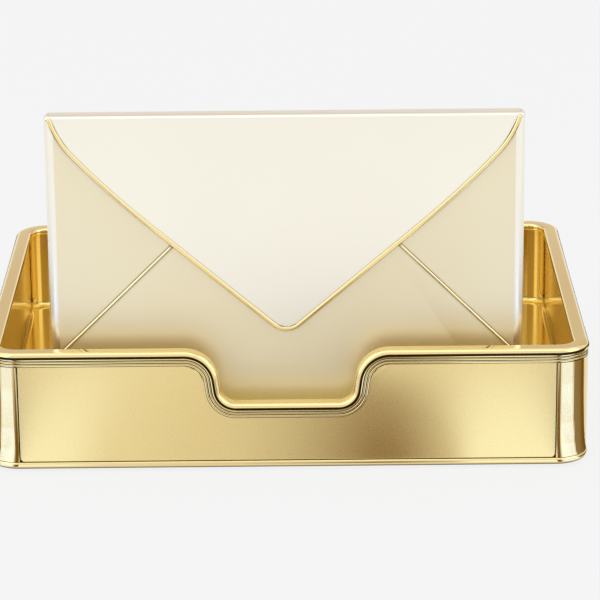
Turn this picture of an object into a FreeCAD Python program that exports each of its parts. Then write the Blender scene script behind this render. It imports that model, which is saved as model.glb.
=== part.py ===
import FreeCAD, Part
import math
import os

Vector = FreeCAD.Vector

# Letter tray, driving sizes in millimetres
tray_width = 293.0
tray_depth = 218.0
tray_height = 60.9
corner_radius = 16.4
foot_height = 1.5

# Top rim: a rounded bead over small reeds, with a lip over the lining
rim_width = 8.0
rim_height = 7.2
bead_height = 4.2
bead_outer_round = 2.4
bead_inner_round = 1.8
bead_under_round = 0.9
reed_count = 2
reed_recess = 0.3
lip_drop = 3.4
lip_round = 0.6

# Finger notch in the front wall, as wide as this halfway down its leaning sides
notch_width = 64.9
notch_depth = 26.7
notch_shoulder_radius = 17.0
notch_bottom_radius = 7.4
notch_lean = 8.0

# Bottom rail
rail_height = 3.6
rail_width = 10.0
rail_upper_round = 1.2
rail_lower_round = 1.6

# Wall panels, with rounded lower corners and softened outer edges
panel_recess = 0.5
panel_thickness = 1.5
panel_corner_round = 2.2
panel_edge_round = 0.6
joint_gap = 0.3

# Corner posts
post_recess = 0.4
tongue_thickness = 2.0
tongue_length = 8.0

# Lining, a drawn sheet tray with a raised floor
lining_setback = 7.0
lining_sheet = 1.0
lining_fold_radius = 2.5
floor_rise = 15.3

# Base plate and the spacers that carry the floor
plate_thickness = 2.0
plate_setback = 7.0
spacer_radius = 3.5
spacer_columns = 3
spacer_rows = 2
spacer_inset_x = 46.5
spacer_inset_y = 39.0

# Rubber feet
foot_radius = 7.0
foot_inset = 26.0
foot_round = 0.5

# Countersunk screws
screw_radius = 1.25
screw_head_radius = 2.2
screw_head_height = 1.3
screw_reach = 8.0
screw_drive_radius = 0.9
screw_drive_depth = 0.9
post_hole_orbit = 12.6

# Studs between posts and rim
stud_radius = 1.5
stud_in_post = 7.0
stud_in_rim = 3.2

# Channel that holds the envelope upright
channel_length = 190.0
channel_sheet = 1.2
channel_leg = 10.0
channel_clearance = 0.4
rivet_count = 3
rivet_pitch = 70.0
rivet_radius = 1.5
rivet_head_radius = 2.4
rivet_head_height = 0.9
rivet_tail_radius = 2.6
rivet_tail_height = 1.0

# Envelope holder
envelope_width = 229.0
envelope_thickness = 9.0
envelope_top = 174.0
envelope_front_gap = 10.0
envelope_sheet = 1.2
envelope_corner_radius = 9.0
envelope_tongue = 2.5
top_corner_round = 3.0

# Seams between the side flaps and the bottom flap
seam_angle = 44.5
seam_foot_rise = 36.1
seam_width = 1.4
mouth_half_width = 38.0
mouth_lip_drop = 6.0

# Top flap
flap_sheet = 1.2
flap_stand_off = 1.6
flap_fold_radius = 2.0
flap_corner_inset = 3.0
flap_drop = 106.8
flap_apex_radius = 9.0
flap_sweep_radius = 430.0
flap_lower_lean = -2.8
flap_middle_lean = 3.8
flap_upper_lean = 28.8
piping_radius = 1.2

# Flap hinge, its knuckles a little under the envelope's top edge
knuckle_radius = 1.6
knuckle_count = 9
hinge_drop = 0.7
hinge_pin_radius = 0.8
hinge_end_gap = 0.3

# Clearances
seat_gap = 0.3
fit_clearance = 0.1
pin_clearance = 0.05
cut_overrun = 5.0

quarter_turn = 90.0
right = Vector(1, 0, 0)
back = Vector(0, 1, 0)
up = Vector(0, 0, 1)

# Places that follow from the sizes above
half_width = tray_width / 2
half_depth = tray_depth / 2
straight_width = tray_width - 2 * corner_radius
straight_depth = tray_depth - 2 * corner_radius
rail_bottom = foot_height
rail_top = rail_bottom + rail_height
rim_bottom = tray_height - rim_height
wall_height = rim_bottom - rail_top
plate_top = rail_bottom + plate_thickness
floor_top = rail_bottom + floor_rise
floor_bottom = floor_top - lining_sheet
lining_back = lining_setback - lining_sheet
lining_top = tray_height - lip_drop
notch_turn = quarter_turn - notch_lean
turn_cosine = math.cos(math.radians(notch_turn))
turn_sine = math.sin(math.radians(notch_turn))
notch_bends = (notch_shoulder_radius + notch_bottom_radius) * (1 - turn_cosine)
notch_side = (notch_depth - notch_bends) / turn_sine
notch_half_top = (notch_width + notch_side * turn_cosine) / 2 + notch_shoulder_radius * turn_sine
notch_half_bottom = (notch_width - notch_side * turn_cosine) / 2 - notch_bottom_radius * turn_sine
envelope_front = rim_width + envelope_front_gap - half_depth
envelope_back = envelope_front + envelope_thickness
envelope_middle = envelope_front + envelope_thickness / 2
envelope_edge_radius = envelope_thickness / 2
envelope_half = envelope_width / 2
envelope_bottom = floor_top + channel_sheet + seat_gap
sheet_half = envelope_half - envelope_edge_radius
frame_top = envelope_top - flap_sheet - seat_gap
seam_foot = envelope_bottom + seam_foot_rise
seam_slope = math.tan(math.radians(seam_angle))
mouth_bottom = seam_foot + (sheet_half - mouth_half_width) * seam_slope
hinge_y = envelope_back - knuckle_radius
hinge_z = envelope_top - hinge_drop - knuckle_radius
hinge_half = sheet_half - envelope_tongue - seat_gap
knuckle_pitch = 2 * hinge_half / knuckle_count
strip_back = hinge_y - knuckle_radius - seat_gap
flap_back = envelope_front - flap_stand_off
flap_front = flap_back - flap_sheet
flap_middle = (flap_back + flap_front) / 2
fold_bottom = envelope_top - flap_fold_radius


def rounded_wire(corners):
    """Closed wire in the local XY plane through (x, y, round) corners."""
    points = [Vector(x, y, 0) for x, y, radius in corners]
    edges = []
    ends = []
    for index, (x, y, radius) in enumerate(corners):
        point = points[index]
        if radius == 0:
            ends.append((point, point))
            continue
        before = (points[index - 1] - point).normalize()
        after = (points[(index + 1) % len(points)] - point).normalize()
        half_angle = before.getAngle(after) / 2
        reach = radius / math.tan(half_angle)
        centre = point + (before + after).normalize() * (radius / math.sin(half_angle))
        middle = centre + (point - centre).normalize() * radius
        first = point + before * reach
        last = point + after * reach
        edges.append(Part.Arc(first, middle, last).toShape())
        ends.append((first, last))
    for index, (first, last) in enumerate(ends):
        following = ends[(index + 1) % len(ends)][0]
        if last.distanceToPoint(following) > Part.Precision.confusion():
            edges.append(Part.LineSegment(last, following).toShape())
    return Part.Wire(Part.__sortEdges__(edges))


def rounded_face(corners):
    """Flat face inside a rounded wire."""
    return Part.Face(rounded_wire(corners))


def local_frame(origin, inward, upward):
    """Placement whose X points inward, Y upward and Z along the path."""
    along = inward.cross(upward)
    return FreeCAD.Placement(FreeCAD.Matrix(
        inward.x, upward.x, along.x, origin.x,
        inward.y, upward.y, along.y, origin.y,
        inward.z, upward.z, along.z, origin.z,
        0, 0, 0, 1))


def run(length):
    """Step of a path: straight on."""
    return (Vector(0, 0, length), None, None, None)


def turn_in(radius, angle):
    """Step of a path: a bend towards the local X."""
    return (None, Vector(radius, 0, 0), Vector(0, 1, 0), angle)


def turn_down(radius, angle):
    """Step of a path: a bend away from the local Y."""
    return (None, Vector(0, -radius, 0), Vector(1, 0, 0), angle)


def turn_up(radius, angle):
    """Step of a path: a bend towards the local Y."""
    return (None, Vector(0, radius, 0), Vector(-1, 0, 0), angle)


def moved_on(place, step, share=1.0):
    """Placement after a share of one step."""
    length, centre, axis, angle = step
    if length is not None:
        return place * FreeCAD.Placement(length * share, FreeCAD.Rotation())
    turn = FreeCAD.Rotation(axis, angle * share)
    return place * FreeCAD.Placement(Vector(0, 0, 0), turn, centre)


def joined(pieces):
    """One solid from touching pieces, with no seams left in its faces."""
    if len(pieces) == 1:
        return pieces[0]
    return pieces[0].multiFuse(pieces[1:]).removeSplitter()


def sweep(section, start, steps):
    """Solid that a flat section passes through along runs and bends."""
    place = start
    pieces = []
    for step in steps:
        length, centre, axis, angle = step
        face = section.transformed(place.toMatrix())
        if length is not None:
            pieces.append(face.extrude(place.Rotation.multVec(length)))
        else:
            pivot = place.multVec(centre)
            pieces.append(face.revolve(pivot, place.Rotation.multVec(axis), angle))
        place = moved_on(place, step)
    return joined(pieces)


def trace(start, steps):
    """Edges that the path itself follows, and the point where it ends."""
    place = start
    edges = []
    for step in steps:
        following = moved_on(place, step)
        if step[0] is not None:
            edges.append(Part.LineSegment(place.Base, following.Base).toShape())
        else:
            halfway = moved_on(place, step, 0.5)
            edges.append(Part.Arc(place.Base, halfway.Base, following.Base).toShape())
        place = following
    return edges, place.Base


def closed_face(edges, points):
    """Flat face from traced edges, closed by straight lines through points."""
    lines = [Part.LineSegment(a, b).toShape() for a, b in zip(points, points[1:])]
    return Part.Face(Part.Wire(Part.__sortEdges__(edges + lines)))


def box(low, high):
    """Block between two opposite corners."""
    size = high - low
    return Part.makeBox(size.x, size.y, size.z, low)


def rounded_slab(setback, bottom, height):
    """Slab that follows the tray's outline at a distance inside it."""
    x = half_width - setback
    y = half_depth - setback
    radius = corner_radius - setback
    face = rounded_face([(-x, -y, radius), (x, -y, radius), (x, y, radius), (-x, y, radius)])
    return face.translated(up * bottom).extrude(up * height)


def ring_steps(front):
    """Steps once round the tray's outline, starting with its front."""
    corner = [turn_in(corner_radius, quarter_turn)]
    side = corner + [run(straight_depth)]
    return front + side + corner + [run(straight_width)] + side + corner


def ring_start(height):
    """Where a ring's path starts: the left end of the front's straight stretch."""
    return local_frame(Vector(-straight_width / 2, -half_depth, height), back, up)


def notch_steps(drop):
    """Steps down, through and up the finger notch, a drop below the rim's top line."""
    shoulder = [turn_down(notch_shoulder_radius - drop, notch_turn)]
    bend = [turn_up(notch_bottom_radius + drop, notch_turn)]
    side = [run(notch_side)]
    return shoulder + side + bend + [run(2 * notch_half_bottom)] + bend + side + shoulder


def notch_cutter(drop):
    """Prism that cuts the finger notch into a sheet of the front wall."""
    start = local_frame(
        Vector(-notch_half_top, -half_depth - cut_overrun, tray_height - drop), back, up)
    edges, end = trace(start, notch_steps(drop))
    high = tray_height + cut_overrun
    corners = [end, Vector(end.x, end.y, high), Vector(start.Base.x, end.y, high), start.Base]
    return closed_face(edges, corners).extrude(back * (rim_width + 2 * cut_overrun))


def corner_places():
    """Name, centre and turn of the tray's four rounded corners."""
    x = half_width - corner_radius
    y = half_depth - corner_radius
    return [("back_right", Vector(x, y, 0), 0),
            ("back_left", Vector(-x, y, 0), quarter_turn),
            ("front_left", Vector(-x, -y, 0), 2 * quarter_turn),
            ("front_right", Vector(x, -y, 0), 3 * quarter_turn)]


def post_hole_place(centre, turn):
    """Middle of a corner post, where its screw and its stud stand."""
    angle = math.radians(turn + quarter_turn / 2)
    return centre + Vector(math.cos(angle), math.sin(angle), 0) * post_hole_orbit


def rim_section():
    """Rim's section: X inward from the outer face, Y up to the top line."""
    reed = (rim_height - bead_height) / reed_count
    groove = reed_recess + reed / 2
    seat = lining_back - fit_clearance
    corners = [
        (0, 0, bead_outer_round),
        (rim_width, 0, bead_inner_round),
        (rim_width, -lip_drop, lip_round),
        (seat, -lip_drop, 0),
        (seat, -rim_height, 0)]
    for index in range(reed_count):
        low = index * reed - rim_height
        corners += [(reed_recess, low, reed / 2), (reed_recess, low + reed, reed / 2),
                    (groove, low + reed, 0)]
    return rounded_face(corners + [(0, -bead_height, bead_under_round)])


def top_rim():
    """Polished rim in one piece, which dips round the finger notch."""
    flank = [run(straight_width / 2 - notch_half_top)]
    rim = sweep(rim_section(), ring_start(tray_height), ring_steps(flank + notch_steps(0) + flank))
    for name, centre, turn in corner_places():
        foot = post_hole_place(centre, turn) + up * (rim_bottom - cut_overrun)
        depth = cut_overrun + stud_in_rim + fit_clearance
        rim = rim.cut(Part.makeCylinder(stud_radius + pin_clearance, depth, foot))
    return rim


def bottom_rail():
    """Polished rail under the walls, rebated inside for the base plate."""
    section = rounded_face([
        (0, 0, rail_lower_round),
        (0, rail_height, rail_upper_round),
        (rail_width, rail_height, 0),
        (rail_width, plate_thickness, 0),
        (plate_setback, plate_thickness, 0),
        (plate_setback, 0, 0)])
    rail = sweep(section, ring_start(rail_bottom), ring_steps([run(straight_width)]))
    for name, centre, turn in corner_places():
        rail = rail.cut(screw_cutter(post_hole_place(centre, turn) + up * rail_bottom))
    return rail


def upright_sheet(corners, front, thickness):
    """Flat sheet from (x, z, round) corners, standing on its edge."""
    upright = local_frame(Vector(0, front + thickness, 0), right, up)
    return rounded_face(corners).transformed(upright.toMatrix()).extrude(-back * thickness)


def wall_panel(length, front):
    """Flat outer wall with its middle at X = 0, all but its top edge softened outside."""
    half = length / 2 - joint_gap
    panel = upright_sheet([
        (-half, rail_top, panel_corner_round), (half, rail_top, panel_corner_round),
        (half, rim_bottom, 0), (-half, rim_bottom, 0)], front, panel_thickness)
    outside = [edge for edge in panel.Edges
               if edge.BoundBox.YMax < front + panel_thickness / 2
               and edge.BoundBox.ZMin < rim_bottom - panel_corner_round]
    return panel.makeFillet(panel_edge_round, outside)


def front_panel():
    """Front wall with the finger notch cut out of its top edge."""
    panel = wall_panel(straight_width, panel_recess - half_depth)
    return panel.cut(notch_cutter(rim_height))


def back_panel():
    """Back wall, a plain sheet."""
    panel = wall_panel(straight_width, panel_recess - half_depth)
    return panel.rotated(Vector(0, 0, 0), up, 2 * quarter_turn)


def side_panel(turn):
    """Side wall, turned to the left or to the right."""
    panel = wall_panel(straight_depth, panel_recess - half_width)
    return panel.rotated(Vector(0, 0, 0), up, turn)


def corner_post(centre, turn):
    """Quarter-round post with a tongue behind each of the two panels it joins."""
    outer = corner_radius - post_recess
    inner = corner_radius - lining_back + fit_clearance
    foot = up * rail_top
    post = Part.makeCylinder(outer, wall_height, foot, up, quarter_turn)
    post = post.cut(Part.makeCylinder(inner, wall_height, foot))
    tongue_face = corner_radius - panel_recess - panel_thickness - fit_clearance
    tongue_back = tongue_face - tongue_thickness
    end = up * rim_bottom
    along_y = box(foot + Vector(tongue_back, -tongue_length, 0), end + Vector(tongue_face, 0, 0))
    along_x = box(foot + Vector(-tongue_length, tongue_back, 0), end + Vector(0, tongue_face, 0))
    post = joined([post, along_y, along_x])
    hole = post_hole_place(Vector(0, 0, 0), 0)
    screw_depth = screw_reach + fit_clearance + cut_overrun
    screw_start = hole + up * (rail_top - cut_overrun)
    post = post.cut(Part.makeCylinder(screw_radius + pin_clearance, screw_depth, screw_start))
    stud_start = hole + up * (rim_bottom - stud_in_post - fit_clearance)
    stud_depth = stud_in_post + fit_clearance + cut_overrun
    post = post.cut(Part.makeCylinder(stud_radius + pin_clearance, stud_depth, stud_start))
    return post.rotated(Vector(0, 0, 0), up, turn).translated(centre)


def rim_stud(centre, turn):
    """Stud that joins a corner post to the rim."""
    foot = post_hole_place(centre, turn) + up * (rim_bottom - stud_in_post)
    return Part.makeCylinder(stud_radius, stud_in_post + stud_in_rim, foot)


def floor_edges(shape, height):
    """Edges of a slab's bottom face, at a height."""
    margin = Part.Precision.confusion() * cut_overrun
    return [edge for edge in shape.Edges if abs(edge.BoundBox.ZMax - height) < margin]


def lining():
    """Drawn tray inside the walls: raised floor, rounded corners, notched front."""
    outer = rounded_slab(lining_back, floor_bottom, lining_top - floor_bottom)
    outer = outer.makeFillet(lining_fold_radius + lining_sheet, floor_edges(outer, floor_bottom))
    inner = rounded_slab(lining_setback, floor_top, lining_top - floor_top + cut_overrun)
    inner = inner.makeFillet(lining_fold_radius, floor_edges(inner, floor_top))
    tray = outer.cut(inner).cut(notch_cutter(lip_drop))
    for place in rivet_places():
        foot = place + up * (floor_bottom - cut_overrun)
        depth = lining_sheet + 2 * cut_overrun
        tray = tray.cut(Part.makeCylinder(rivet_radius + pin_clearance, depth, foot))
    return tray


def spacer_places():
    """Centres of the spacers, in even rows and columns."""
    span_x = tray_width - 2 * spacer_inset_x
    span_y = tray_depth - 2 * spacer_inset_y
    places = []
    for column in range(spacer_columns):
        for row in range(spacer_rows):
            x = span_x * (column / (spacer_columns - 1) - 0.5)
            y = span_y * (row / (spacer_rows - 1) - 0.5)
            places.append(Vector(x, y, 0))
    return places


def floor_spacer(place):
    """Tapped round spacer between the base plate and the floor."""
    spacer = Part.makeCylinder(spacer_radius, floor_bottom - plate_top, place + up * plate_top)
    start = place + up * (plate_top - cut_overrun)
    depth = screw_reach + fit_clearance + cut_overrun
    return spacer.cut(Part.makeCylinder(screw_radius + pin_clearance, depth, start))


def screw_cutter(place):
    """Countersunk hole for a screw that goes up from a place on an underside."""
    head = Part.makeCone(screw_head_radius + pin_clearance, screw_radius + pin_clearance,
                         screw_head_height, place)
    return head.fuse(Part.makeCylinder(screw_radius + pin_clearance, screw_reach, place))


def screw(place, seat_depth):
    """Countersunk screw, its head flush below and its tip past what it clamps."""
    head = Part.makeCone(screw_head_radius, screw_radius, screw_head_height, place)
    shank = Part.makeCylinder(screw_radius, seat_depth + screw_reach, place)
    drive = Part.makeCylinder(screw_drive_radius, screw_drive_depth, place)
    return joined([head, shank]).cut(drive)


def base_plate():
    """Bottom cover, let into the rail from below."""
    plate = rounded_slab(plate_setback + fit_clearance, rail_bottom, plate_thickness)
    for place in spacer_places():
        plate = plate.cut(screw_cutter(place + up * rail_bottom))
    return plate


def rubber_foot(side, end):
    """Round rubber foot under one corner of the base plate."""
    place = Vector(side * (half_width - foot_inset), end * (half_depth - foot_inset), 0)
    foot = Part.makeCylinder(foot_radius, foot_height, place)
    return foot.makeFillet(foot_round, floor_edges(foot, 0))


def rivet_places():
    """Centres of the rivets in a row along the channel."""
    middle = (rivet_count - 1) / 2
    return [Vector((index - middle) * rivet_pitch, envelope_middle, 0)
            for index in range(rivet_count)]


def rivet_head(place, clearance):
    """Countersunk head of a rivet and its shank down to the floor's underside."""
    shank_top = floor_top + channel_sheet
    radius = rivet_radius + clearance
    head = Part.makeCone(radius, rivet_head_radius + clearance, rivet_head_height,
                         place + up * (shank_top - rivet_head_height))
    shank = Part.makeCylinder(radius, shank_top - floor_bottom, place + up * floor_bottom)
    return joined([head, shank])


def rivet(place):
    """Rivet with its closing head under the floor."""
    tail = Part.makeCylinder(rivet_tail_radius, rivet_tail_height,
                             place + up * (floor_bottom - rivet_tail_height))
    return joined([rivet_head(place, 0), tail])


def envelope_channel():
    """Folded channel on the floor, with a slot as wide as the envelope."""
    slot = envelope_thickness / 2 + channel_clearance
    side = slot + channel_sheet
    top = channel_sheet + channel_leg
    section = rounded_face([
        (-side, 0, 0), (side, 0, 0), (side, top, 0), (slot, top, 0),
        (slot, channel_sheet, 0), (-slot, channel_sheet, 0), (-slot, top, 0), (-side, top, 0)])
    start = local_frame(Vector(-channel_length / 2, envelope_middle, floor_top), back, up)
    channel = sweep(section, start, [run(channel_length)])
    for place in rivet_places():
        channel = channel.cut(rivet_head(place, pin_clearance))
    return channel


def top_outline():
    """Block inside the envelope's rounded upper outline, seen from the front."""
    low = envelope_bottom - cut_overrun
    face = rounded_face([
        (-envelope_half, low, 0), (envelope_half, low, 0),
        (envelope_half, envelope_top, top_corner_round),
        (-envelope_half, envelope_top, top_corner_round)])
    depth = envelope_thickness + flap_stand_off + flap_sheet + 2 * cut_overrun
    upright = local_frame(Vector(0, flap_front - cut_overrun, 0), right, up)
    return face.transformed(upright.toMatrix()).extrude(back * depth)


def envelope_frame():
    """Half-round edge bar bent to a U, with a tongue for the sheets."""
    tongue = envelope_thickness / 2 - envelope_sheet
    radius = envelope_edge_radius
    reach = radius + envelope_tongue
    section = rounded_face([
        (0, -radius, radius), (0, radius, radius), (radius, radius, 0), (radius, tongue, 0),
        (reach, tongue, 0), (reach, -tongue, 0), (radius, -tongue, 0), (radius, -radius, 0)])
    start = local_frame(Vector(-envelope_half, envelope_middle, frame_top), right, -back)
    side = [run(frame_top - envelope_bottom - envelope_corner_radius)]
    corner = [turn_in(envelope_corner_radius, quarter_turn)]
    bottom = [run(envelope_width - 2 * envelope_corner_radius)]
    frame = sweep(section, start, side + corner + bottom + corner + side)
    return frame.common(top_outline())


def knuckle(index, bore):
    """One tube of the hinge, or the bore through it, counted from the left."""
    left = index * knuckle_pitch - hinge_half + hinge_end_gap / 2
    foot = Vector(left, hinge_y, hinge_z)
    length = knuckle_pitch - hinge_end_gap
    if bore:
        foot = foot - right * cut_overrun
        length = length + 2 * cut_overrun
        return Part.makeCylinder(hinge_pin_radius + pin_clearance, length, foot, right)
    return Part.makeCylinder(knuckle_radius, length, foot, right)


def envelope_back_sheet():
    """Back of the envelope, rolled into every other knuckle of the hinge."""
    low = envelope_bottom + envelope_edge_radius
    corner = envelope_corner_radius - envelope_edge_radius
    sheet_front = envelope_back - envelope_sheet
    notch_bottom = hinge_z - knuckle_radius - seat_gap
    sheet = upright_sheet([
        (-sheet_half, low, corner), (sheet_half, low, corner),
        (sheet_half, notch_bottom, 0), (-sheet_half, notch_bottom, 0)],
        sheet_front, envelope_sheet)
    for index in range(0, knuckle_count, 2):
        tube = knuckle(index, False)
        left = tube.BoundBox.XMin
        web = box(Vector(left, sheet_front, notch_bottom),
                  Vector(tube.BoundBox.XMax, envelope_back, hinge_z))
        sheet = joined([sheet, tube, web]).cut(knuckle(index, True))
    return sheet


def hinge_pin():
    """Pin through all the knuckles."""
    return Part.makeCylinder(hinge_pin_radius, 2 * hinge_half, Vector(-hinge_half, hinge_y, hinge_z),
                             right)


def seam_bead(side, clearance):
    """Raised bead that closes the seam from the edge bar up to the mouth."""
    half = seam_width / 2 + clearance
    section = rounded_face([
        (-half, half, half), (half, half, half),
        (half, -envelope_sheet, 0), (-half, -envelope_sheet, 0)])
    angle = math.radians(seam_angle)
    along = Vector(-side * math.cos(angle), 0, math.sin(angle))
    start = local_frame(Vector(side * sheet_half, envelope_front, seam_foot),
                        (-back).cross(along), -back)
    length = (sheet_half - mouth_half_width) / math.cos(angle)
    overrun = local_frame(start.Base - along * cut_overrun, (-back).cross(along), -back)
    bead = sweep(section, overrun, [run(length + 2 * cut_overrun)])
    low = envelope_front - cut_overrun
    inside = box(Vector(mouth_half_width, low, envelope_bottom),
                 Vector(sheet_half, envelope_back, envelope_top))
    if side < 0:
        inside = inside.mirror(Vector(0, 0, 0), right)
    if clearance:
        return bead
    return bead.common(inside)


def side_flap(side):
    """Three-cornered side flap of the envelope."""
    flap = upright_sheet([
        (side * sheet_half, seam_foot, 0), (side * sheet_half, frame_top - mouth_lip_drop, 0),
        (side * mouth_half_width, mouth_bottom, 0)], envelope_front, envelope_sheet)
    return flap.cut(seam_bead(side, pin_clearance))


def bottom_flap():
    """Bottom flap of the envelope, from the edge bar up to the mouth."""
    low = envelope_bottom + envelope_edge_radius
    corner = envelope_corner_radius - envelope_edge_radius
    flap = upright_sheet([
        (-sheet_half, low, corner), (sheet_half, low, corner),
        (sheet_half, seam_foot, 0), (mouth_half_width, mouth_bottom, 0),
        (-mouth_half_width, mouth_bottom, 0), (-sheet_half, seam_foot, 0)],
        envelope_front, envelope_sheet)
    return flap.cut(seam_bead(-1, pin_clearance)).cut(seam_bead(1, pin_clearance))


def flap_edge():
    """Start and steps of the top flap's edge, from corner to corner round the apex."""
    across = envelope_half - flap_corner_inset
    down = fold_bottom - (envelope_top - flap_drop)
    chord = math.degrees(math.atan2(down, across))
    lower = math.radians(chord + flap_lower_lean)
    middle = math.radians(chord + flap_middle_lean)
    upper = math.radians(chord + flap_upper_lean)
    across_left = (across - flap_apex_radius * math.sin(lower)
                   - flap_sweep_radius * (math.sin(middle) - math.sin(lower)))
    down_left = (down - flap_apex_radius * (1 - math.cos(lower))
                 - flap_sweep_radius * (math.cos(lower) - math.cos(middle)))
    shoulder_across = math.sin(upper) - math.sin(middle)
    shoulder_down = math.cos(middle) - math.cos(upper)
    scale = math.cos(lower) * shoulder_down - math.sin(lower) * shoulder_across
    straight = (across_left * shoulder_down - down_left * shoulder_across) / scale
    shoulder = (down_left * math.cos(lower) - across_left * math.sin(lower)) / scale
    falling = [turn_in(shoulder, math.degrees(upper - middle)),
               turn_in(flap_sweep_radius, math.degrees(middle - lower)),
               run(straight)]
    apex = [turn_in(flap_apex_radius, math.degrees(2 * lower))]
    along = Vector(math.cos(upper), 0, -math.sin(upper))
    start = local_frame(Vector(-across, flap_middle, fold_bottom), (-back).cross(along), -back)
    return start, falling + apex + falling[::-1]


def flap_piping(clearance):
    """Round piping along the flap's edge, with domed ends."""
    radius = piping_radius + clearance
    circle = Part.Face(Part.Wire(Part.makeCircle(radius)))
    start, steps = flap_edge()
    pipe = sweep(circle, start, steps)
    end = trace(start, steps)[1]
    domes = [Part.makeSphere(radius, start.Base), Part.makeSphere(radius, end)]
    return pipe.multiFuse(domes).removeSplitter()


def strip_plan():
    """Block inside the top strip's outline, seen from above."""
    face = rounded_face([
        (-envelope_half, flap_front, top_corner_round), (envelope_half, flap_front, top_corner_round),
        (envelope_half, strip_back, 0), (-envelope_half, strip_back, 0)])
    low = fold_bottom - cut_overrun
    return face.translated(up * low).extrude(up * (envelope_top - low + cut_overrun))


def flap_panel():
    """Top flap: front leaf, fold, top strip and the flap's knuckles, from one sheet."""
    start, steps = flap_edge()
    edges, end = trace(start, steps)
    leaf = closed_face(edges, [end, start.Base]).translated(back * (flap_back - flap_middle))
    leaf = leaf.extrude(-back * flap_sheet)
    inner_fold = flap_fold_radius - flap_sheet
    strip_under = envelope_top - flap_sheet
    section = rounded_face([
        (flap_front, fold_bottom, 0), (flap_front, envelope_top, flap_fold_radius),
        (strip_back, envelope_top, 0), (strip_back, strip_under, 0),
        (flap_back, strip_under, inner_fold), (flap_back, fold_bottom, 0)])
    start = local_frame(Vector(-envelope_half, 0, 0), back, up)
    strip = sweep(section, start, [run(envelope_width)])
    strip = strip.common(top_outline()).common(strip_plan())
    panel = joined([leaf, strip])
    for index in range(1, knuckle_count, 2):
        tube = knuckle(index, False)
        web = box(Vector(tube.BoundBox.XMin, strip_back - flap_sheet, hinge_z),
                  Vector(tube.BoundBox.XMax, hinge_y, hinge_z + knuckle_radius))
        panel = joined([panel, tube, web]).cut(knuckle(index, True))
    return panel.cut(flap_piping(pin_clearance))


def save(name, shape):
    """Write one node's file, and print how many solids it holds and their volume."""
    shape.exportStep("parts/" + name + ".step")
    state = "valid" if shape.isValid() else "NOT VALID"
    print(name, len(shape.Solids), "solid(s)", round(shape.Volume), "mm3", state)


def group(shapes):
    """Identical pieces kept in one node as separate solids."""
    return Part.makeCompound(shapes)


def main():
    """Build every piece of the tray, the envelope and the flap."""
    os.makedirs("parts", exist_ok=True)
    corners = corner_places()

    save("top_rim", top_rim())
    save("bottom_rail", bottom_rail())
    save("front_panel", front_panel())
    save("back_panel", back_panel())
    save("left_panel", side_panel(-quarter_turn))
    save("right_panel", side_panel(quarter_turn))
    for name, centre, turn in corners:
        save("corner_post_" + name, corner_post(centre, turn))
    save("tray_lining", lining())
    save("base_plate", base_plate())
    save("floor_spacers", group([floor_spacer(place) for place in spacer_places()]))
    save("base_screws", group([screw(place + up * rail_bottom, plate_thickness - fit_clearance)
                               for place in spacer_places()]))
    save("post_screws", group([screw(post_hole_place(centre, turn) + up * rail_bottom,
                                     rail_height - fit_clearance)
                               for name, centre, turn in corners]))
    save("rim_studs", group([rim_stud(centre, turn) for name, centre, turn in corners]))
    for end_name, end in (("front", -1), ("back", 1)):
        for side_name, side in (("left", -1), ("right", 1)):
            save("foot_" + end_name + "_" + side_name, rubber_foot(side, end))
    save("envelope_channel", envelope_channel())
    save("channel_rivets", group([rivet(place) for place in rivet_places()]))

    save("envelope_frame", envelope_frame())
    save("envelope_back", envelope_back_sheet())
    save("left_side_flap", side_flap(-1))
    save("right_side_flap", side_flap(1))
    save("bottom_flap", bottom_flap())
    save("left_seam_bead", seam_bead(-1, 0))
    save("right_seam_bead", seam_bead(1, 0))
    save("hinge_pin", hinge_pin())

    save("flap_panel", flap_panel())
    save("flap_piping", flap_piping(0))


main()
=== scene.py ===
import bmesh
import bpy
import math
from mathutils import Matrix, Vector


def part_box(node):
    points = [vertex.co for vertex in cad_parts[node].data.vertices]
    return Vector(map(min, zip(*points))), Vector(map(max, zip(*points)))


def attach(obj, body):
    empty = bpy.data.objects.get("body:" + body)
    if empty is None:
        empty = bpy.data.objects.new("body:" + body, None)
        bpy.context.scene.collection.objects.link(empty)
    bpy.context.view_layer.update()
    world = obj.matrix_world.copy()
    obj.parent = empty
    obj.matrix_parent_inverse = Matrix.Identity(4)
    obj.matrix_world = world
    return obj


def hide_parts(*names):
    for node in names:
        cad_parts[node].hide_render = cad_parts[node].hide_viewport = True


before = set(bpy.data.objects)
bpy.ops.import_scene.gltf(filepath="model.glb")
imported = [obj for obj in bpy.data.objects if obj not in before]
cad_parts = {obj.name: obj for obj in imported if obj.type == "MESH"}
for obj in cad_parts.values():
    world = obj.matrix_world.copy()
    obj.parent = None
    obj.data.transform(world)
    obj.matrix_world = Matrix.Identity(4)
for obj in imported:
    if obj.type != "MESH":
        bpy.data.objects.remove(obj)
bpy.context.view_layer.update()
mm = 0.001


# Camera: a long lens in front of the tray and 18 degrees above it.
# It is turned by half a degree, so that the tray's right side lies a little higher in the picture.
picture_side = 600
focal_pixels = 3115
sensor_side = 36.0
nearest_seen = 50 * mm
farthest_seen = 100000 * mm
camera_target = Vector((6.6, 0.0, 51.4)) * mm
camera_distance = 1600 * mm
camera_elevation = 18.0
camera_roll = -0.53


def scene_object(name, data):
    """An object at the origin that holds this camera, lamp, mesh or curve."""
    thing = bpy.data.objects.new(name, data)
    bpy.context.scene.collection.objects.link(thing)
    return thing


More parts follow.
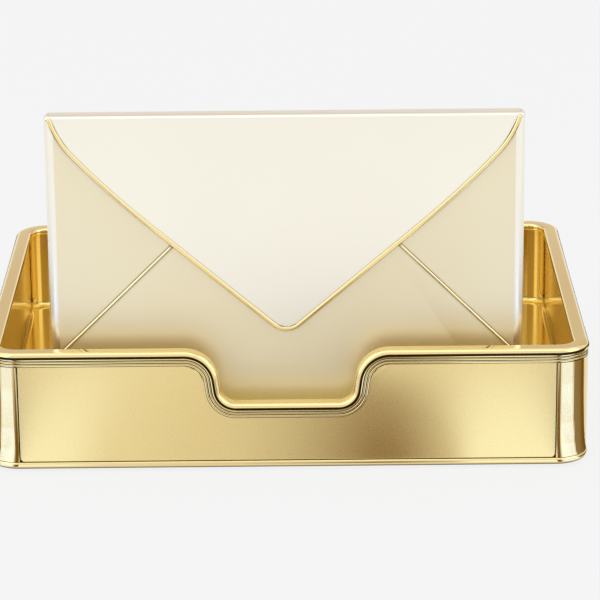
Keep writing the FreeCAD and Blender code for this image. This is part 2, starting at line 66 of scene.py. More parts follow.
lens = bpy.data.cameras.new("product_lens")
lens.sensor_width = sensor_side
lens.lens = sensor_side * focal_pixels / picture_side
lens.clip_start = nearest_seen
lens.clip_end = farthest_seen
camera = scene_object("product_camera", lens)
camera.matrix_world = (Matrix.Translation(camera_target)
                       @ Matrix.Rotation(math.radians(90.0 - camera_elevation), 4, "X")
                       @ Matrix.Rotation(math.radians(camera_roll), 4, "Z")
                       @ Matrix.Translation((0, 0, camera_distance)))
bpy.context.scene.camera = camera
bpy.context.scene.view_settings.view_transform = "Standard"


# Studio: a plain pale room with three soft boxes, one above the tray and one on either side.
# The room has one even tone, which metal mirrors as the camera sees it.
def linear(hex_colour):
    """An sRGB hex colour as linear RGBA."""
    channels = [int(hex_colour[place:place + 2], 16) / 255 for place in (1, 3, 5)]
    return (*[c / 12.92 if c <= 0.04045 else ((c + 0.055) / 1.055) ** 2.4 for c in channels], 1.0)


def add(tree, kind, inputs=None, **settings):
    """Adds a node with its settings, its input values and the links into it."""
    node = tree.nodes.new(kind)
    for name, value in settings.items():
        setattr(node, name, value)
    for socket, value in (inputs or {}).items():
        if isinstance(value, bpy.types.NodeSocket):
            tree.links.new(value, node.inputs[socket])
        else:
            node.inputs[socket].default_value = value
    return node


def blank_tree(owner):
    """Empty node tree of a world or a material."""
    owner.use_nodes = True
    owner.node_tree.nodes.clear()
    return owner.node_tree


pale_backdrop = "#F9F9F9"

room = bpy.data.worlds.new("pale_room")
bpy.context.scene.world = room
tree = blank_tree(room)
wall = add(tree, "ShaderNodeBackground", {"Color": linear(pale_backdrop), "Strength": 1.0})
add(tree, "ShaderNodeOutputWorld", {"Surface": wall.outputs["Background"]})

# Places, aims, widths and heights are in metres here, and the power is in watts.
for name, place, aim, width, height, power in (
        ("overhead_box", (-0.2, -0.5, 1.5), (0.0, 0.0, 0.0), 1.8, 0.9, 3.0),
        ("left_box", (-1.3, -0.9, 0.9), (0.0, 0.0, 0.05), 1.4, 2.0, 6.0),
        ("right_box", (1.3, -0.7, 0.8), (0.0, 0.0, 0.05), 1.2, 1.8, 5.0)):
    lamp = bpy.data.lights.new(name, "AREA")
    lamp.shape = "RECTANGLE"
    lamp.size = width
    lamp.size_y = height
    lamp.energy = power
    soft_box = scene_object(name, lamp)
    soft_box.location = place
    soft_box.rotation_mode = "QUATERNION"
    soft_box.rotation_quaternion = (Vector(aim) - Vector(place)).to_track_quat("-Z", "Y")


# Floor: a large sheet of matt white paper.
# It shows as the pale backdrop to the eye and in the metal, and keeps the tray's shadow.
floor_half = 8000 * mm
floor_glow_share = 0.9
paper_shade = "#BEBEBE"


def stage_sheet(name, points, faces, material):
    """Part of the studio: a mesh that isn't part of the tray."""
    mesh = bpy.data.meshes.new(name)
    mesh.from_pydata(points, [], faces)
    mesh.materials.append(material)
    sheet = scene_object(name, mesh)
    return sheet


paper = bpy.data.materials.new("matt_white_paper")
tree = blank_tree(paper)
rays = add(tree, "ShaderNodeLightPath").outputs
camera_or_mirror = add(tree, "ShaderNodeMath", {
    0: rays["Is Camera Ray"], 1: rays["Is Glossy Ray"]}, operation="MAXIMUM")
seen = add(tree, "ShaderNodeMath", {
    0: camera_or_mirror.outputs[0], 1: rays["Is Transmission Ray"]}, operation="MAXIMUM")
glow_share = add(tree, "ShaderNodeMath", {0: seen.outputs[0], 1: floor_glow_share}, operation="MULTIPLY")
matt = add(tree, "ShaderNodeBsdfDiffuse", {"Color": linear(paper_shade)})
glow = add(tree, "ShaderNodeEmission", {"Color": linear(pale_backdrop), "Strength": 1.0})
mixed = add(tree, "ShaderNodeMixShader", {
    0: glow_share.outputs[0], 1: matt.outputs["BSDF"], 2: glow.outputs["Emission"]})
add(tree, "ShaderNodeOutputMaterial", {"Surface": mixed.outputs["Shader"]})
stage_sheet("paper_floor", [(x * floor_half, y * floor_half, 0.0)
                            for x, y in ((-1, -1), (1, -1), (1, 1), (-1, 1))], [(0, 1, 2, 3)], paper)


# Flags: cards with soft edges round the tray, nearly all flat on the floor. Only its metal mirrors them.
# A brown one shades the middle of the front wall, lit ones brighten its ends and the envelope,
# and narrow ones draw the corner posts.
card_level = 1.0 * mm
lit_level = 0.5 * mm
tray_low, tray_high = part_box("top_rim")
corner_radius = 16.4 * mm


def card_finish(name, colour, kind, **strength):
    """Finish of a card, as dense as its mesh's own cover says."""
    card = bpy.data.materials.new(name)
    tree = blank_tree(card)
    cover = add(tree, "ShaderNodeAttribute", attribute_name="cover")
    face = add(tree, kind, {"Color": linear(colour), **strength})
    clear = add(tree, "ShaderNodeBsdfTransparent")
    both = add(tree, "ShaderNodeMixShader", {
        0: cover.outputs["Fac"], 1: clear.outputs["BSDF"], 2: face.outputs[0]})
    add(tree, "ShaderNodeOutputMaterial", {"Surface": both.outputs["Shader"]})
    return card


def flag(name, rows, material):
    """Flag from rows of (point, cover) pairs. It is thin where its cover is low."""
    width = len(rows[0])
    faces = [(row * width + step, row * width + step + 1, (row + 1) * width + step + 1,
              (row + 1) * width + step)
             for row in range(len(rows) - 1) for step in range(width - 1)]
    card = stage_sheet(name, [point for row in rows for point, _ in row], faces, material)
    card.data.attributes.new("cover", "FLOAT", "POINT")
    covers = [cover for row in rows for _, cover in row]
    for spot, cover in zip(card.data.attributes["cover"].data, covers):
        spot.value = cover
    for ray in ("camera", "diffuse", "transmission", "volume_scatter", "shadow"):
        setattr(card, "visible_" + ray, False)


brown_card = card_finish("matt_brown_card", "#76581E", "ShaderNodeBsdfDiffuse")
corner_card = card_finish("lit_white_card", "#B4C8FF", "ShaderNodeEmission", Strength=2.6)
end_card = card_finish("lit_pale_card", "#E4EEFF", "ShaderNodeEmission", Strength=1.45)
far_card = card_finish("lit_plain_card", "#FFFFFF", "ShaderNodeEmission", Strength=1.02)

# Each pair is a distance in millimetres, across or ahead of the front wall, and the cover there.
# The front flag is densest ahead of the right half of the front wall, and thins slowly to the left.
front_profile = ((-85.0, 0.0), (-55.0, 0.08), (-25.0, 0.16), (0.0, 0.38), (22.0, 0.63), (42.0, 0.87),
                 (55.0, 0.85), (66.0, 0.62), (78.0, 0.34), (88.0, 0.08), (96.0, 0.0))
front_reach = ((6.0, 1.0), (140.0, 1.0), (175.0, 0.0))
left_profile = ((-160.0, 0.0), (-150.0, 0.9), (-110.0, 0.9), (-88.0, 0.0))
right_profile = ((80.0, 0.0), (90.0, 1.0), (150.0, 1.0), (160.0, 0.0))
far_profile = ((-320.0, 0.0), (-240.0, 1.0), (240.0, 1.0), (320.0, 0.0))
far_reach = ((190.0, 0.0), (330.0, 1.0), (640.0, 1.0), (760.0, 0.0))
for card_name, profile, reaches, level, finish in (
        ("front_flag", front_profile, front_reach, card_level, brown_card),
        ("left_glow", left_profile, front_reach, lit_level, end_card),
        ("right_glow", right_profile, front_reach, lit_level, end_card),
        ("far_glow", far_profile, far_reach, lit_level, far_card)):
    flag(card_name, [[((x * mm, tray_low.y - reach * mm, level), thick * near) for x, thick in profile]
                     for reach, near in reaches], finish)

# A grey card stands far behind the tray, its foot well above the floor, and shades the rim's flat top.
# Its pairs are distances in millimetres, across and up, and the cover there.
grey_card = card_finish("lit_grey_card", "#DCCFC2", "ShaderNodeEmission", Strength=1.0)
grey_card_back = 2000 * mm
grey_profile = ((-3600.0, 0.0), (-3000.0, 1.0), (3000.0, 1.0), (3600.0, 0.0))
grey_heights = ((440.0, 0.0), (680.0, 1.0), (3000.0, 1.0), (3600.0, 0.0))
flag("grey_rear", [[((x * mm, grey_card_back, height * mm), thick * near) for x, thick in grey_profile]
                   for height, near in grey_heights], grey_card)

# Three wedges fan out round each corner: a narrow dark one, a lit one and a wide dark one.
# Their pairs are angles in degrees, from straight ahead or straight back, and the cover there.
dark_wedges = ((3.0, 0.0), (6.0, 1.0), (12.0, 1.0), (18.0, 0.0), (57.0, 0.0), (63.0, 0.85),
               (93.0, 0.95), (98.0, 1.0), (110.0, 1.0), (115.0, 0.0))
lit_wedge = ((14.0, 0.0), (21.0, 1.0), (55.0, 1.0), (62.0, 0.0))
wedge_reach = (20 * mm, 230 * mm)
for across in (-1, 1):
    for along in (-1, 1):
        centre = Vector((across * (tray_high.x - corner_radius), along * (tray_high.y - corner_radius),
                         card_level))
        for wedge, finish in ((dark_wedges, brown_card), (lit_wedge, corner_card)):
            spokes = [(Vector((across * math.sin(math.radians(angle)),
                               along * math.cos(math.radians(angle)), 0.0)), thick)
                      for angle, thick in wedge]
            flag("corner_flag", [[(centre + spoke * reach, thick) for spoke, thick in spokes]
                                 for reach in wedge_reach], finish)


# Feet: four round pads of black rubber, moulded with flat soles.
# They are glued under the corners of the base plate.
speck_detail = 2.0
speck_roughness = 0.6
speck_range = (0.3, 0.7)
tone_patch = 60 * mm
tone_detail = 1.0
patina_and_shade_samples = 12


def grained(name, tones, roughness, grain, relief, metallic=1.0, stretch=(1, 1, 1), patina_and_shade=None):
    """A surface whose tone wanders in broad patches and whose gloss and relief follow a fine grain.

    Given a patina, it is browner where the room is hidden from it: brown tarnish and painted shade in
    corners, grooves and joints.
    That argument is a colour, a reach, and how open to the room a spot is where it is full and where it
    ends.
    """
    material = bpy.data.materials.new(name)
    tree = blank_tree(material)
    place = add(tree, "ShaderNodeTexCoord").outputs["Object"]
    fine = add(tree, "ShaderNodeMapping", {
        "Vector": place, "Scale": [1 / (grain * length) for length in stretch]})
    speck = add(tree, "ShaderNodeTexNoise", {
        "Vector": fine.outputs["Vector"], "Scale": 1.0, "Detail": speck_detail,
        "Roughness": speck_roughness})
    broad = add(tree, "ShaderNodeTexNoise", {
        "Vector": place, "Scale": 1 / tone_patch, "Detail": tone_detail})
    tone = add(tree, "ShaderNodeMix", {
        "Factor": broad.outputs["Fac"], "A": linear(tones[0]), "B": linear(tones[1])}, data_type="RGBA")
    # Ambient occlusion browns the tone where the room is hidden: a brown patina and painted shade.
    if patina_and_shade:
        patina_and_shade_colour, patina_and_shade_reach, full_at, none_at = patina_and_shade
        open_side = add(tree, "ShaderNodeAmbientOcclusion", {"Distance": patina_and_shade_reach},
                        samples=patina_and_shade_samples)
        hidden = add(tree, "ShaderNodeMapRange", {
            "Value": open_side.outputs["AO"], "From Min": full_at, "From Max": none_at,
            "To Min": 1.0, "To Max": 0.0}, interpolation_type="SMOOTHSTEP")
        tone = add(tree, "ShaderNodeMix", {
            "Factor": hidden.outputs["Result"], "A": tone.outputs["Result"],
            "B": linear(patina_and_shade_colour)}, data_type="RGBA")
    gloss = add(tree, "ShaderNodeMapRange", {
        "Value": speck.outputs["Fac"], "From Min": speck_range[0], "From Max": speck_range[1],
        "To Min": roughness[0], "To Max": roughness[1]})
    bump = add(tree, "ShaderNodeBump", {
        "Height": speck.outputs["Fac"], "Distance": relief, "Strength": 1.0})
    surface = add(tree, "ShaderNodeBsdfPrincipled", {
        "Base Color": tone.outputs["Result"], "Metallic": metallic,
        "Roughness": gloss.outputs["Result"], "Normal": bump.outputs["Normal"]})
    add(tree, "ShaderNodeOutputMaterial", {"Surface": surface.outputs["BSDF"]})
    return material


def finish_nodes(material, *names):
    """Gives CAD nodes their real finish."""
    for name in names:
        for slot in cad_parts[name].material_slots:
            slot.material = material


# Moulded rubber is nearly black and dull, with a faint pebbled skin.
moulded_rubber = grained("moulded_black_rubber", ("#1B1B1C", "#242425"), roughness=(0.65, 0.8),
                         grain=0.5 * mm, relief=0.02 * mm, metallic=0.0)
finish_nodes(moulded_rubber, "foot_front_left", "foot_front_right", "foot_back_left", "foot_back_right")


# Base plate: an aluminium sheet, anodised gold, let into the rail from below and held by six screws.
# It was ground before it was anodised, which leaves fine scratches from side to side.
ground_gold = grained("ground_gold_aluminium", ("#D9BC77", "#E2C886"), roughness=(0.35, 0.5),
                      grain=0.5 * mm, relief=0.004 * mm, stretch=(12, 1, 1))
finish_nodes(ground_gold, "base_plate")


# Spacers, screws, studs, rivets and hinge pin: turned steel parts, most of them hidden inside the tray.
# Zinc plating makes them pale grey and softly bright.
zinc_steel = grained("zinc_plated_steel", ("#B9BCC0", "#C9CCCF"), roughness=(0.25, 0.4),
                     grain=0.8 * mm, relief=0.002 * mm)
finish_nodes(zinc_steel, "floor_spacers", "base_screws", "post_screws", "rim_studs",
             "channel_rivets", "hinge_pin")


# Bottom rail: a brass bar with rounded edges, bent to a ring, polished and lacquered.
# Its rebate holds the base plate, and four screws go up through its corners.
bend_step = math.radians(2.5)
section_step = math.radians(9.0)
fewest_bend_steps = 6
fewest_section_steps = 3
ease = 0.25 * mm
same_place = 0.001 * mm
merge_distance = 0.0005 * mm
smooth_limit = math.radians(32.0)
quarter = math.pi / 2
back = Vector((0, 1, 0))
right = Vector((1, 0, 0))
up = Vector((0, 0, 1))

rail_low, rail_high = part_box("bottom_rail")
half_width = tray_high.x
half_depth = tray_high.y
rail_height = rail_high.z - rail_low.z
rail_width = 10.0 * mm
rail_upper_round = 1.2 * mm
rail_lower_round = 1.6 * mm
plate_thickness = 2.0 * mm
plate_setback = 7.0 * mm
straight_width = 2 * (half_width - corner_radius)
straight_depth = 2 * (half_depth - corner_radius)


def outline(corners):
    """Points of a closed outline through (x, y, round) corners."""
    points = []
    for index, (x, y, radius) in enumerate(corners):
        corner = Vector((x, y))
        before = (Vector(corners[index - 1][:2]) - corner).normalized()
        after = (Vector(corners[(index + 1) % len(corners)][:2]) - corner).normalized()
        if radius == 0:
            points.append(corner)
            continue
        half_angle = before.angle(after) / 2
        centre = corner + (before + after).normalized() * (radius / math.sin(half_angle))
        arm = corner + before * (radius / math.tan(half_angle)) - centre
        turn = math.copysign(math.pi - 2 * half_angle, after.cross(before))
        count = max(fewest_section_steps, round(abs(turn) / section_step))
        for step in range(count + 1):
            point = centre + Matrix.Rotation(turn * step / count, 2) @ arm
            if not points or (point - points[-1]).length > same_place:
                points.append(point)
    return points


def frame_at(origin, inward, upward):
    """Place on a path: X points inward, Y upward and Z along it."""
    along = inward.cross(upward)
    return Matrix(((inward.x, upward.x, along.x, origin.x), (inward.y, upward.y, along.y, origin.y),
                   (inward.z, upward.z, along.z, origin.z), (0, 0, 0, 1)))


def run(length):
    """Step of a path: straight on."""
    return length, None, None, None


def turn_in(radius, angle):
    """Step of a path: a bend towards the local X."""
    return None, Vector((radius, 0, 0)), Vector((0, 1, 0)), angle


def turn_down(radius, angle):
    """Step of a path: a bend away from the local Y."""
    return None, Vector((0, -radius, 0)), Vector((1, 0, 0)), angle


def turn_up(radius, angle):
    """Step of a path: a bend towards the local Y."""
    return None, Vector((0, radius, 0)), Vector((-1, 0, 0)), angle


def follow(start, steps):
    """Places along a path, close together round its bends and just inside the ends of its runs."""
    places = [start]
    for length, centre, axis, angle in steps:
        first = places[-1]
        if length is not None:
            for distance in (ease, length - ease, length):
                places.append(first @ Matrix.Translation((0, 0, distance)))
            continue
        count = max(fewest_bend_steps, round(angle / bend_step))
        for step in range(1, count + 1):
            places.append(first @ Matrix.Translation(centre)
                          @ Matrix.Rotation(angle * step / count, 4, axis)
                          @ Matrix.Translation(-centre))
    return places


def ring_path(height, front):
    """Places once round the tray's outline at a height, starting with the steps of its front."""
    corner = [turn_in(corner_radius, quarter)]
    side = corner + [run(straight_depth)]
    start = frame_at(Vector((-straight_width / 2, -half_depth, height)), back, up)
    return follow(start, front + side + corner + [run(straight_width)] + side + corner)


def section_sweep():
    """Node tree that draws a section along a path, with smooth faces and sharp edges."""
    tree = bpy.data.node_groups.new("section_along_path", "GeometryNodeTree")
    for name, kind in (("Path", "NodeSocketGeometry"), ("Section", "NodeSocketObject"),
                       ("Closed Ends", "NodeSocketBool"), ("Smooth Limit", "NodeSocketFloat"),
                       ("Finish", "NodeSocketMaterial")):
        tree.interface.new_socket(name, in_out="INPUT", socket_type=kind)
    tree.interface.new_socket("Piece", in_out="OUTPUT", socket_type="NodeSocketGeometry")
    given = add(tree, "NodeGroupInput").outputs
    line = add(tree, "GeometryNodeMeshToCurve", {"Mesh": given["Path"]})
    upward = add(tree, "GeometryNodeInputNamedAttribute", {"Name": "upward"}, data_type="FLOAT_VECTOR")
    turned = add(tree, "GeometryNodeSetCurveNormal", {
        "Curve": line.outputs["Curve"], "Normal": upward.outputs["Attribute"]}, mode="FREE")
    section = add(tree, "GeometryNodeObjectInfo", {"Object": given["Section"]})
    body = add(tree, "GeometryNodeCurveToMesh", {
        "Curve": turned.outputs["Curve"], "Profile Curve": section.outputs["Geometry"],
        "Fill Caps": given["Closed Ends"]})
    smooth = add(tree, "GeometryNodeSetShadeSmooth", {"Geometry": body.outputs["Mesh"]})
    edge = add(tree, "GeometryNodeInputMeshEdgeAngle")
    sharp = add(tree, "FunctionNodeCompare", {
        0: edge.outputs["Unsigned Angle"], 1: given["Smooth Limit"]}, operation="GREATER_THAN")
    creased = add(tree, "GeometryNodeSetShadeSmooth", {
        "Geometry": smooth.outputs["Geometry"], "Selection": sharp.outputs["Result"],
        "Shade Smooth": False}, domain="EDGE")
    real = add(tree, "GeometryNodeRealizeInstances", {"Geometry": creased.outputs["Geometry"]})
    finished = add(tree, "GeometryNodeSetMaterial", {
        "Geometry": real.outputs["Geometry"], "Material": given["Finish"]})
    add(tree, "NodeGroupOutput", {"Piece": finished.outputs["Geometry"]})
    return tree


sweep_tree = section_sweep()


def set_inputs(modifier, values):
    """Sets a node modifier's inputs by their names, before it is first evaluated."""
    for item in modifier.node_group.interface.items_tree:
        if item.name in values and item.in_out == "INPUT":
            modifier[item.identifier] = values[item.name]


def evaluated_mesh(holder):
    """Plain mesh of an object as its modifiers leave it."""
    return bpy.data.meshes.new_from_object(
        holder.evaluated_get(bpy.context.evaluated_depsgraph_get()))


def swept(name, section, places, finish, closed, section_is_closed=True):
    """Mesh of a section, with X inward and Y up, drawn along a path of places."""
    curve = bpy.data.curves.new(name + "_section", "CURVE")
    curve.dimensions = "3D"
    spline = curve.splines.new("POLY")
    spline.points.add(len(section) - 1)
    spline.use_cyclic_u = section_is_closed
    for point, (x, y) in zip(spline.points, section):
        point.co = (y, -x, 0.0, 1.0)
    if closed:
        places = places[:-1]
    last = len(places) - 1
    edges = [(index, index + 1) for index in range(last)] + ([(last, 0)] if closed else [])
    path = bpy.data.meshes.new(name + "_path")
    path.from_pydata([place.translation for place in places], edges, [])
    path.attributes.new("upward", "FLOAT_VECTOR", "POINT")
    for index, place in enumerate(places):
        path.attributes["upward"].data[index].vector = place.col[1].xyz.normalized()
    profile = scene_object(name + "_section", curve)
    carrier = scene_object(name + "_path", path)
    modifier = carrier.modifiers.new("section_along_path", "NODES")
    modifier.node_group = sweep_tree
    set_inputs(modifier, {"Section": profile, "Closed Ends": not closed,
                          "Smooth Limit": smooth_limit, "Finish": finish})
    mesh = evaluated_mesh(carrier)
    mesh.name = name
    bpy.data.objects.remove(carrier)
    bpy.data.objects.remove(profile)
    return mesh


def mended(mesh, fill_loops=False, turn_out=True):
    """A mesh with its doubles merged, its open loops filled and its faces turned outwards."""
    work = bmesh.new()
    work.from_mesh(mesh)
    bmesh.ops.remove_doubles(work, verts=work.verts, dist=merge_distance)
    if fill_loops:
        bmesh.ops.holes_fill(work, edges=[edge for edge in work.edges if edge.is_boundary])
    if turn_out:
        bmesh.ops.recalc_face_normals(work, faces=work.faces)
    work.to_mesh(mesh)
    work.free()
    return mesh


def stand_in(name, mesh, node, body):
    """Stands a finished mesh in a CAD node's place, its flat faces shaded flat and its rounds round."""
    made = scene_object(name, mesh)
    even = made.modifiers.new("even_shading", "WEIGHTED_NORMAL")
    even.keep_sharp = True
    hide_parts(node)
    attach(made, body)


# Polished brass under clear lacquer mirrors the room in warm gold, with a faint haze from polishing.
# Its corners are darkened by painted shade and a brown patina, widest under the panels' edges.
polishing_grain = 1.2 * mm
polishing_relief = 0.0004 * mm
# Painted shade and a brown patina: a colour, a reach, and where they are full and where they end.
rail_patina_and_shade = ("#4A340C", 4.0 * mm, 0.5, 0.95)


def polished(name, patina_and_shade):
    """Polished brass, darkened in its hollows by brown tarnish and painted shade."""
    return grained(name, ("#F0D99A", "#F5E1A8"), roughness=(0.05, 0.10), grain=polishing_grain,
                   relief=polishing_relief, patina_and_shade=patina_and_shade)


rail_section = outline([
    (0, 0, rail_lower_round), (0, rail_height, rail_upper_round), (rail_width, rail_height, 0),
    (rail_width, plate_thickness, 0), (plate_setback, plate_thickness, 0), (plate_setback, 0, 0)])
rail_path = ring_path(rail_low.z, [run(straight_width)])
rail_mesh = swept("polished_bottom_rail", rail_section, rail_path,
                  polished("half_buffed_brass", rail_patina_and_shade), closed=True)
stand_in("polished_bottom_rail", mended(rail_mesh), "bottom_rail", "tray")


# Wall panels: four flat brass sheets with a satin finish, held between rail, posts and rim.
# The front one has the finger notch cut out of its upper edge. Their lower corners are rounded.
def smooth_shaded(mesh):
    """A mesh with smooth faces and sharp edges."""
    mesh.shade_smooth()
    mesh.set_sharp_from_angle(angle=smooth_limit)
    return mesh


def dressed(node, prefix, finish, body):
    """Stands a smooth copy of a CAD node in its place, its loose triangles joined, in its real finish."""
    name = prefix + "_" + node
    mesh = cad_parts[node].data.copy()
    mesh.name = name
    mesh.materials.clear()
    mesh.materials.append(finish)
    stand_in(name, smooth_shaded(mended(mesh, turn_out=False)), node, body)


# A fine satin finish blurs what the sheet mirrors and leaves an even grain.
# Painted shade and a brown patina darken the panels along the rail, posts and rim.
seam_patina_and_shade = ("#5E4412", 1.6 * mm, 0.5, 0.95)
satin_brass = grained("satin_lacquered_brass", ("#F1D896", "#F4DE9F"), roughness=(0.27, 0.29),
                      grain=0.6 * mm, relief=0.0002 * mm, patina_and_shade=seam_patina_and_shade)
for panel in ("front_panel", "back_panel", "left_panel", "right_panel"):
    dressed(panel, "satin", satin_brass, "tray")


# Corner posts: quarter-round brass bars, polished, with a tongue behind each panel beside them.
# A screw holds each to the rail and a stud to the rim, and painted shade with a brown patina darkens
# their seams.
polished_brass = polished("polished_lacquered_brass", seam_patina_and_shade)
for corner_name in ("back_right", "back_left", "front_left", "front_right"):
    dressed("corner_post_" + corner_name, "polished", polished_brass, "tray")


# Lining: one brass sheet drawn to an inner tray, with a small fold round its raised floor.
# Its rolled and polished sheet is a little darker and softer than the rim.
drawn_brass = grained("drawn_polished_brass", ("#DEC275", "#E4CA7F"), roughness=(0.11, 0.16),
                      grain=1.5 * mm, relief=0.0005 * mm)
lining_low, lining_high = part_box("tray_lining")
lining_outer = half_width - lining_high.x
lining_sheet = 1.0 * mm
lining_inner = lining_outer + lining_sheet
lining_fold = 2.5 * mm
floor_flange = 4.0 * mm
tray_height = tray_high.z
rim_height = 7.2 * mm
lip_drop = tray_height - lining_high.z
notch_width = 64.9 * mm
notch_depth = 26.7 * mm
shoulder_radius = 17.0 * mm
notch_bottom_radius = 7.4 * mm
notch_side_lean = math.radians(8.0)
notch_turn = quarter - notch_side_lean
turn_cosine = math.cos(notch_turn)
turn_sine = math.sin(notch_turn)
notch_side = (notch_depth - (shoulder_radius + notch_bottom_radius) * (1 - turn_cosine)) / turn_sine
notch_half_top = (notch_width + notch_side * turn_cosine) / 2 + shoulder_radius * turn_sine
notch_half_bottom = (notch_width - notch_side * turn_cosine) / 2 - notch_bottom_radius * turn_sine
cut_overrun = 5.0 * mm


def notch_steps(drop):
    """Steps down, through and up the finger notch, a drop below the rim's top line."""
    shoulder = [turn_down(shoulder_radius - drop, notch_turn)]
    bend = [turn_up(notch_bottom_radius + drop, notch_turn)]
    side = [run(notch_side)]
    return shoulder + side + bend + [run(2 * notch_half_bottom)] + bend + side + shoulder


def prism(name, points, depth):
    """Closed block through points, pushed back by a depth."""
    count = len(points)
    mesh = bpy.data.meshes.new(name)
    rear = [point + depth for point in points]
    sides = [(index, (index + 1) % count, (index + 1) % count + count, index + count)
             for index in range(count)]
    mesh.from_pydata([*points, *rear], [], [tuple(range(count)), tuple(range(count, 2 * count)), *sides])
    return mended(mesh)


def shaped(mesh, cutter, operation):
    """A mesh after one cut, or what it shares with a block."""
    body = scene_object("body_to_cut", mesh)
    tool = scene_object("cutting_block", cutter)
    step = body.modifiers.new("cut", "BOOLEAN")
    step.operation = operation
    step.solver = "EXACT"
    step.object = tool
    result = evaluated_mesh(body)
    result.name = mesh.name
    bpy.data.objects.remove(body)
    bpy.data.objects.remove(tool)
    return smooth_shaded(result)


wall_top = lining_high.z - lining_low.z
flange_end = lining_inner + lining_fold + floor_flange
round_wall = outline([
    (flange_end, lining_sheet, 0), (lining_inner, lining_sheet, lining_fold),
    (lining_inner, wall_top, 0), (lining_outer, wall_top, 0),
    (lining_outer, 0, lining_fold + lining_sheet), (flange_end, 0, 0)])
lining_path = ring_path(lining_low.z, [run(straight_width)])
lining_mesh = swept("drawn_tray_lining", round_wall, lining_path, drawn_brass, closed=True,
                    section_is_closed=False)
notch_start = frame_at(Vector((-notch_half_top, -half_depth - cut_overrun, tray_height - lip_drop)),
                       back, up)
notch_line = [place.translation for place in follow(notch_start, notch_steps(lip_drop))]
above = up * (lip_drop + cut_overrun)
notch_block = prism("notch_block", [*notch_line, notch_line[-1] + above, notch_line[0] + above],
                    back * (2 * cut_overrun + lining_inner))
notched_lining = shaped(mended(lining_mesh, fill_loops=True), notch_block, "DIFFERENCE")
stand_in("drawn_tray_lining", notched_lining, "tray_lining", "tray")


# Channel: a brass strip folded to a U, with the lining's finish, which keeps the envelope upright.
# Three rivets hold it to the floor.
finish_nodes(drawn_brass, "envelope_channel")


# Top rim: one brass bar drawn with a bead and two fine reeds, bent round the tray and through the notch.
# Its lip covers the lining's upper edge, and studs in the corner posts hold it.
rim_width = 8.0 * mm
bead_height = 4.2 * mm
bead_outer_round = 2.4 * mm
bead_inner_round = 1.8 * mm
bead_under_round = 0.9 * mm
reed_count = 2
reed_recess = 0.3 * mm
lip_round = 0.6 * mm
fit_clearance = 0.1 * mm
reed = (rim_height - bead_height) / reed_count
groove = reed_recess + reed / 2
lining_seat = lining_outer - fit_clearance
# Painted shade and a brown patina darken the reeds' grooves.
reed_patina_and_shade = ("#4A340C", 0.8 * mm, 0.5, 0.92)

rim_corners = [
    (0, 0, bead_outer_round), (rim_width, 0, bead_inner_round), (rim_width, -lip_drop, lip_round),
    (lining_seat, -lip_drop, 0), (lining_seat, -rim_height, 0)]
for index in range(reed_count):
    reed_low = index * reed - rim_height
    rim_corners += [(reed_recess, reed_low, reed / 2), (reed_recess, reed_low + reed, reed / 2),
                    (groove, reed_low + reed, 0)]
rim_section = outline([*rim_corners, (0, -bead_height, bead_under_round)])
rim_flank = [run(straight_width / 2 - notch_half_top)]
rim_path = ring_path(tray_height, rim_flank + notch_steps(0) + rim_flank)
rim_mesh = swept("polished_top_rim", rim_section, rim_path,
                 polished("polished_reeded_brass", reed_patina_and_shade), closed=True)
stand_in("polished_top_rim", mended(rim_mesh), "top_rim", "tray")


# Rim strip and gold card: two more flags of the studio, placed from the finished rim and lining.
# The thin dark strip runs ahead of the rim's bead, and shows in it as its fine dark line.
# The lit gold card stands inside the front wall, lower behind the notch, and warms the envelope's shade.
dark_card = card_finish("matt_dark_card", "#3A2F0E", "ShaderNodeBsdfDiffuse")
strip_gap = 6.0 * mm
strip_profile = ((-6.1, 0.0), (-5.5, 1.0), (-2.5, 1.0), (-1.6, 0.0))
flag("rim_strip", [[(place @ Vector((-strip_gap, height * mm, 0.0)), thick) for place in rim_path]
                   for height, thick in strip_profile], dark_card)

gold_card = card_finish("lit_gold_card", "#C4AE59", "ShaderNodeEmission", Strength=1.0)
gold_card_setback = 0.5 * mm
behind_notch = 32.0
beside_notch = 40.0
gold_card_end = 126.0
gold_card_heights = ((18.0, 1.0, 1.0), (28.0, 1.0, 1.0), (34.0, 1.0, 0.0), (46.0, 1.0, 0.0),
                     (53.0, 0.0, 0.0))
gold_card_front = tray_low.y + lining_inner + gold_card_setback
flag("gap_glow", [[((x * mm, gold_card_front, height * mm), low if abs(x) <= behind_notch else high)
                   for x in (-gold_card_end, -beside_notch, -behind_notch,
                             behind_notch, beside_notch, gold_card_end)]
                  for height, high, low in gold_card_heights], gold_card)


# Envelope edge bar: half-round aluminium bar bent to a U, blasted and anodised in pale champagne.
# Blasting leaves a fine even grain that spreads every reflection.
blasting_grain = 0.6 * mm
blasting_relief = 0.0007 * mm
# Painted shade and a brown patina darken the bar and the flap where they meet other pieces.
edge_patina_and_shade = ("#5E4C20", 1.5 * mm, 0.65, 0.97)
pale_champagne = grained("blasted_pale_aluminium", ("#F9F4E3", "#FBF7EA"), roughness=(0.28, 0.34),
                         grain=blasting_grain, relief=blasting_relief, patina_and_shade=edge_patina_and_shade)
frame_low, frame_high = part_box("envelope_frame")
envelope_half = frame_high.x
envelope_middle = (frame_low.y + frame_high.y) / 2
edge_radius = (frame_high.y - frame_low.y) / 2
envelope_corner = 9.0 * mm
edge_tongue = 2.5 * mm
envelope_sheet = 1.2 * mm
top_corner_round = 3.0 * mm
envelope_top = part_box("flap_panel")[1].z

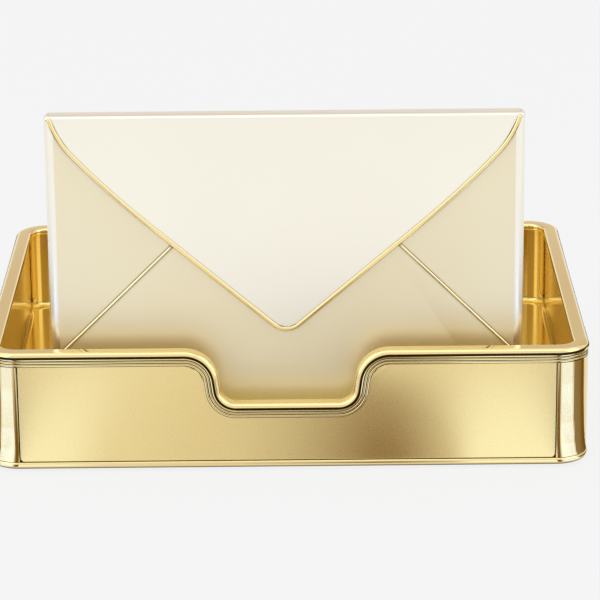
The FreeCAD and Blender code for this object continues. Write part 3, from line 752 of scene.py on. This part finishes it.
tongue_half = edge_radius - envelope_sheet
tongue_reach = edge_radius + edge_tongue
edge_section = outline([
    (0, -edge_radius, edge_radius), (0, edge_radius, edge_radius), (edge_radius, edge_radius, 0),
    (edge_radius, tongue_half, 0), (tongue_reach, tongue_half, 0), (tongue_reach, -tongue_half, 0),
    (edge_radius, -tongue_half, 0), (edge_radius, -edge_radius, 0)])
edge_start = frame_at(Vector((-envelope_half, envelope_middle, frame_high.z)), right, -back)
edge_side = [run(frame_high.z - frame_low.z - envelope_corner)]
edge_bend = [turn_in(envelope_corner, quarter)]
edge_bottom = [run(2 * (envelope_half - envelope_corner))]
edge_path = follow(edge_start, edge_side + edge_bend + edge_bottom + edge_bend + edge_side)
edge_mesh = swept("blasted_envelope_frame", edge_section, edge_path, pale_champagne, closed=False)
block_low = frame_low.z - cut_overrun
block_points = [Vector((x, frame_low.y - cut_overrun, z)) for x, z in outline([
    (-envelope_half, block_low, 0), (envelope_half, block_low, 0),
    (envelope_half, envelope_top, top_corner_round), (-envelope_half, envelope_top, top_corner_round)])]
top_block = prism("top_outline", block_points, back * (2 * (edge_radius + cut_overrun)))
rounded_edge = shaped(mended(edge_mesh), top_block, "INTERSECT")
stand_in("blasted_envelope_frame", rounded_edge, "envelope_frame", "envelope")


# Envelope sheets: back sheet, two side flaps and the bottom flap, cut from aluminium sheet.
# They are bonded to the edge bar's tongue, and raised beads close the seams between them.
# They are blasted coarser than the bar, and their tone is a little darker.
# Painted shade and a brown patina darken the sheets along the beads, the edge bar and the flap's edge.
sheet_patina_and_shade = ("#4E3E14", 2.0 * mm, 0.6, 0.97)
blasted_champagne = grained("blasted_champagne_aluminium", ("#EFE3C1", "#F2E8CA"),
                            roughness=(0.46, 0.52), grain=blasting_grain, relief=blasting_relief,
                            patina_and_shade=sheet_patina_and_shade)
for sheet_name in ("left_side_flap", "right_side_flap", "bottom_flap", "envelope_back"):
    dressed(sheet_name, "blasted", blasted_champagne, "envelope")


# Seam beads: two fine brass strips with a rounded top, polished and bonded over the seams.
# Their paler brass mirrors the sheets beside them, and painted shade with a brown patina lies along their
# feet.
wire_patina_and_shade = ("#5E4412", 2.5 * mm, 0.6, 0.97)
bead_brass = grained("polished_pale_brass", ("#F1E2B4", "#F5E9C2"), roughness=(0.08, 0.14),
                     grain=polishing_grain, relief=polishing_relief, patina_and_shade=wire_patina_and_shade)
for seam in ("left_seam_bead", "right_seam_bead"):
    dressed(seam, "polished", bead_brass, "envelope")


# Top flap: one aluminium sheet folded over the envelope's top edge and rolled into hinge knuckles.
# It is blasted and anodised like the edge bar.
# Like the bar, it is darkened by painted shade and a brown patina in its corners and along its piping.
dressed("flap_panel", "blasted", pale_champagne, "flap")


# Flap piping: a round brass wire along the flap's edge, polished, with domed ends.
# It is bonded to the flap, and painted shade with a brown patina lies along both its sides.
wire_brass = polished("polished_brass_wire", wire_patina_and_shade)
dressed("flap_piping", "polished", wire_brass, "flap")


bpy.context.view_layer.update()
